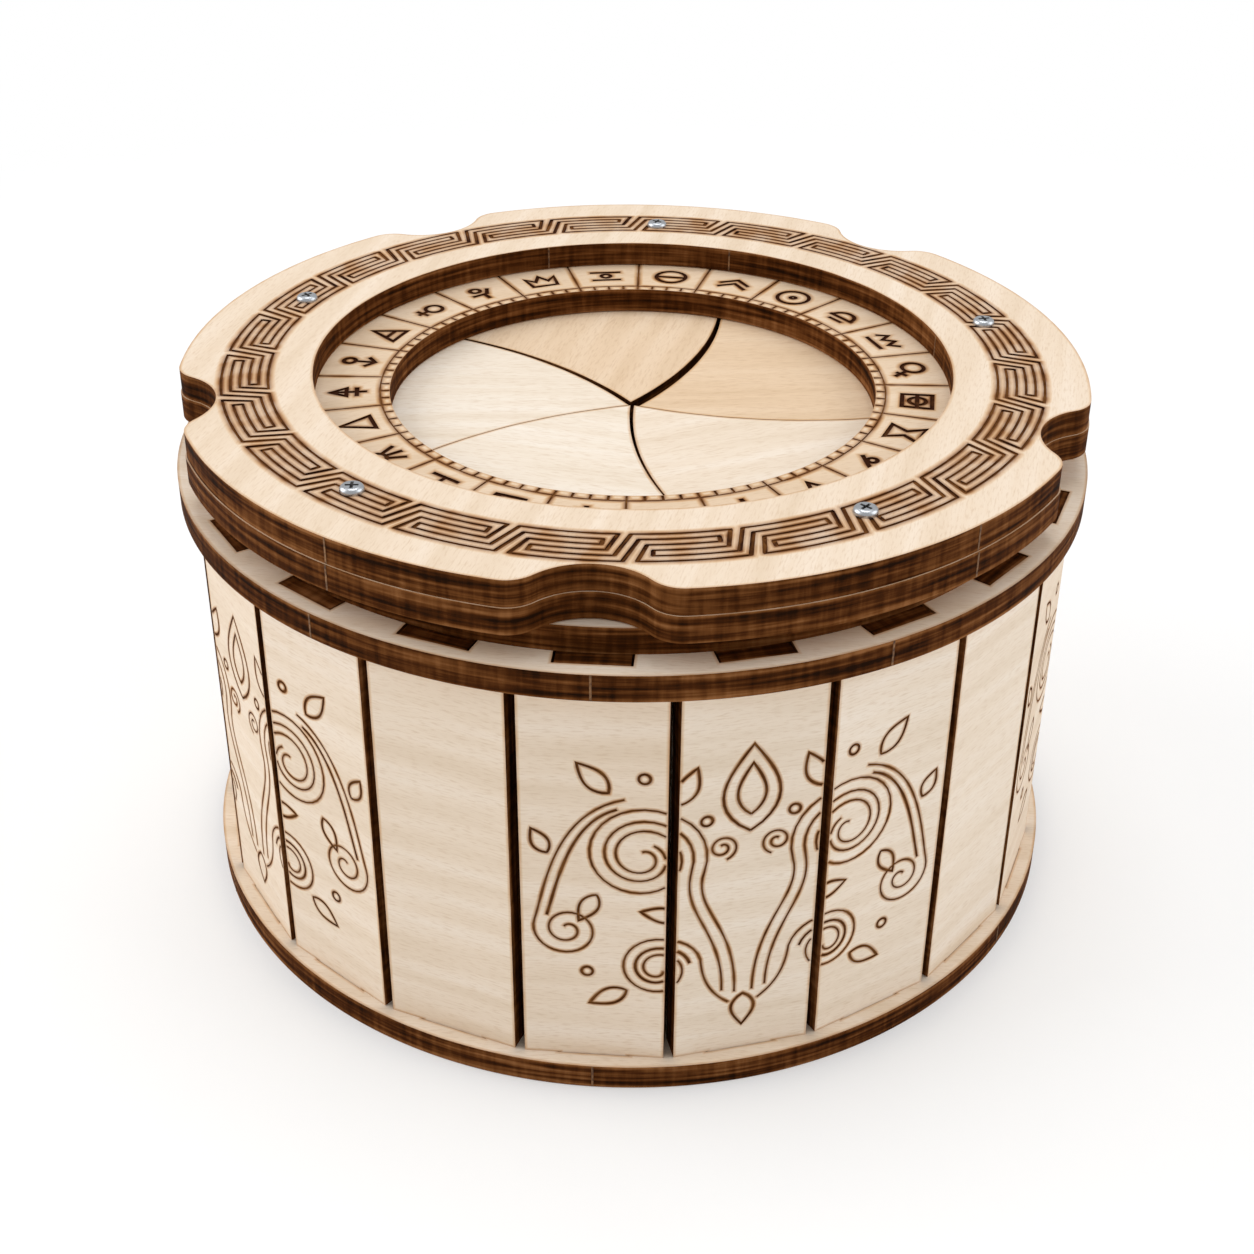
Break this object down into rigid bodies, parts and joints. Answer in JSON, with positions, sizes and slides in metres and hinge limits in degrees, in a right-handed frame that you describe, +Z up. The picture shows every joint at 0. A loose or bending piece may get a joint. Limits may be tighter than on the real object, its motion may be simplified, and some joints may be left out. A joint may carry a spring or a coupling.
{
  "type": "puzzle box",
  "caption": "Round laser-cut plywood puzzle box with a side wall of flat staves, a turning notched lid, a loose symbol dial and an iris of coplanar blades",
  "frame": {"origin": "centre of the underside of the base disc", "axes": "+Z up along the turning axis of the lid, -Y through one finger notch"},
  "size_m": [0.142, 0.142, 0.0854],
  "materials": {
    "birch_plywood": "pale birch plywood, bare faces, laser-burnt dark brown edges",
    "hardwood_dowel": "plain beech dowel",
    "zinc_steel": "zinc-plated steel"
  },
  "bodies": {
    "box_body": {"base_disc": "birch_plywood", "stave_01": "birch_plywood", "stave_02": "birch_plywood", "stave_03": "birch_plywood", "stave_04": "birch_plywood", "stave_05": "birch_plywood", "stave_06": "birch_plywood", "stave_07": "birch_plywood", "stave_08": "birch_plywood", "stave_09": "birch_plywood", "stave_10": "birch_plywood", "stave_11": "birch_plywood", "stave_12": "birch_plywood", "stave_13": "birch_plywood", "stave_14": "birch_plywood", "stave_15": "birch_plywood", "stave_16": "birch_plywood", "stave_17": "birch_plywood", "stave_18": "birch_plywood", "stave_19": "birch_plywood", "stave_20": "birch_plywood", "flange_ring": "birch_plywood", "spacer_ring": "birch_plywood"},
    "lid": {"lid_lower_ring": "birch_plywood", "lid_top_ring": "birch_plywood", "keeper_ring": "birch_plywood", "pivot_screws": "zinc_steel", "pivot_nuts": "zinc_steel"},
    "dial": {"dial_ring": "birch_plywood"},
    "blade_1": {"iris_blade_1": "birch_plywood", "drive_pin_1": "hardwood_dowel"},
    "blade_2": {"iris_blade_2": "birch_plywood", "drive_pin_2": "hardwood_dowel"},
    "blade_3": {"iris_blade_3": "birch_plywood", "drive_pin_3": "hardwood_dowel"},
    "blade_4": {"iris_blade_4": "birch_plywood", "drive_pin_4": "hardwood_dowel"},
    "blade_5": {"iris_blade_5": "birch_plywood", "drive_pin_5": "hardwood_dowel"}
  },
  "joints": [
    {"name": "lid_turn", "type": "hinge", "parent": "box_body", "child": "lid", "pos_m": [0, 0, 0.0762], "axis": [0, 0, 1], "range_deg": [0, 30]},
    {"name": "dial_turn", "type": "hinge", "parent": "lid", "child": "dial", "pos_m": [0, 0, 0.078], "axis": [0, 0, 1], "continuous": true},
    {"name": "blade_1_pivot", "type": "hinge", "parent": "lid", "child": "blade_1", "pos_m": [0.05583, 0.01814, 0.074], "axis": [0, 0, 1], "range_deg": [-30, 0]},
    {"name": "blade_2_pivot", "type": "hinge", "parent": "lid", "child": "blade_2", "pos_m": [0, 0.0587, 0.074], "axis": [0, 0, 1], "range_deg": [-30, 0]},
    {"name": "blade_3_pivot", "type": "hinge", "parent": "lid", "child": "blade_3", "pos_m": [-0.05583, 0.01814, 0.074], "axis": [0, 0, 1], "range_deg": [-30, 0]},
    {"name": "blade_4_pivot", "type": "hinge", "parent": "lid", "child": "blade_4", "pos_m": [-0.0345, -0.04749, 0.074], "axis": [0, 0, 1], "range_deg": [-30, 0]},
    {"name": "blade_5_pivot", "type": "hinge", "parent": "lid", "child": "blade_5", "pos_m": [0.0345, -0.04749, 0.074], "axis": [0, 0, 1], "range_deg": [-30, 0]}
  ],
  "couplings": [
    {"joint": "blade_1_pivot", "follows": "lid_turn", "ratio": -1},
    {"joint": "blade_2_pivot", "follows": "lid_turn", "ratio": -1},
    {"joint": "blade_3_pivot", "follows": "lid_turn", "ratio": -1},
    {"joint": "blade_4_pivot", "follows": "lid_turn", "ratio": -1},
    {"joint": "blade_5_pivot", "follows": "lid_turn", "ratio": -1}
  ]
}
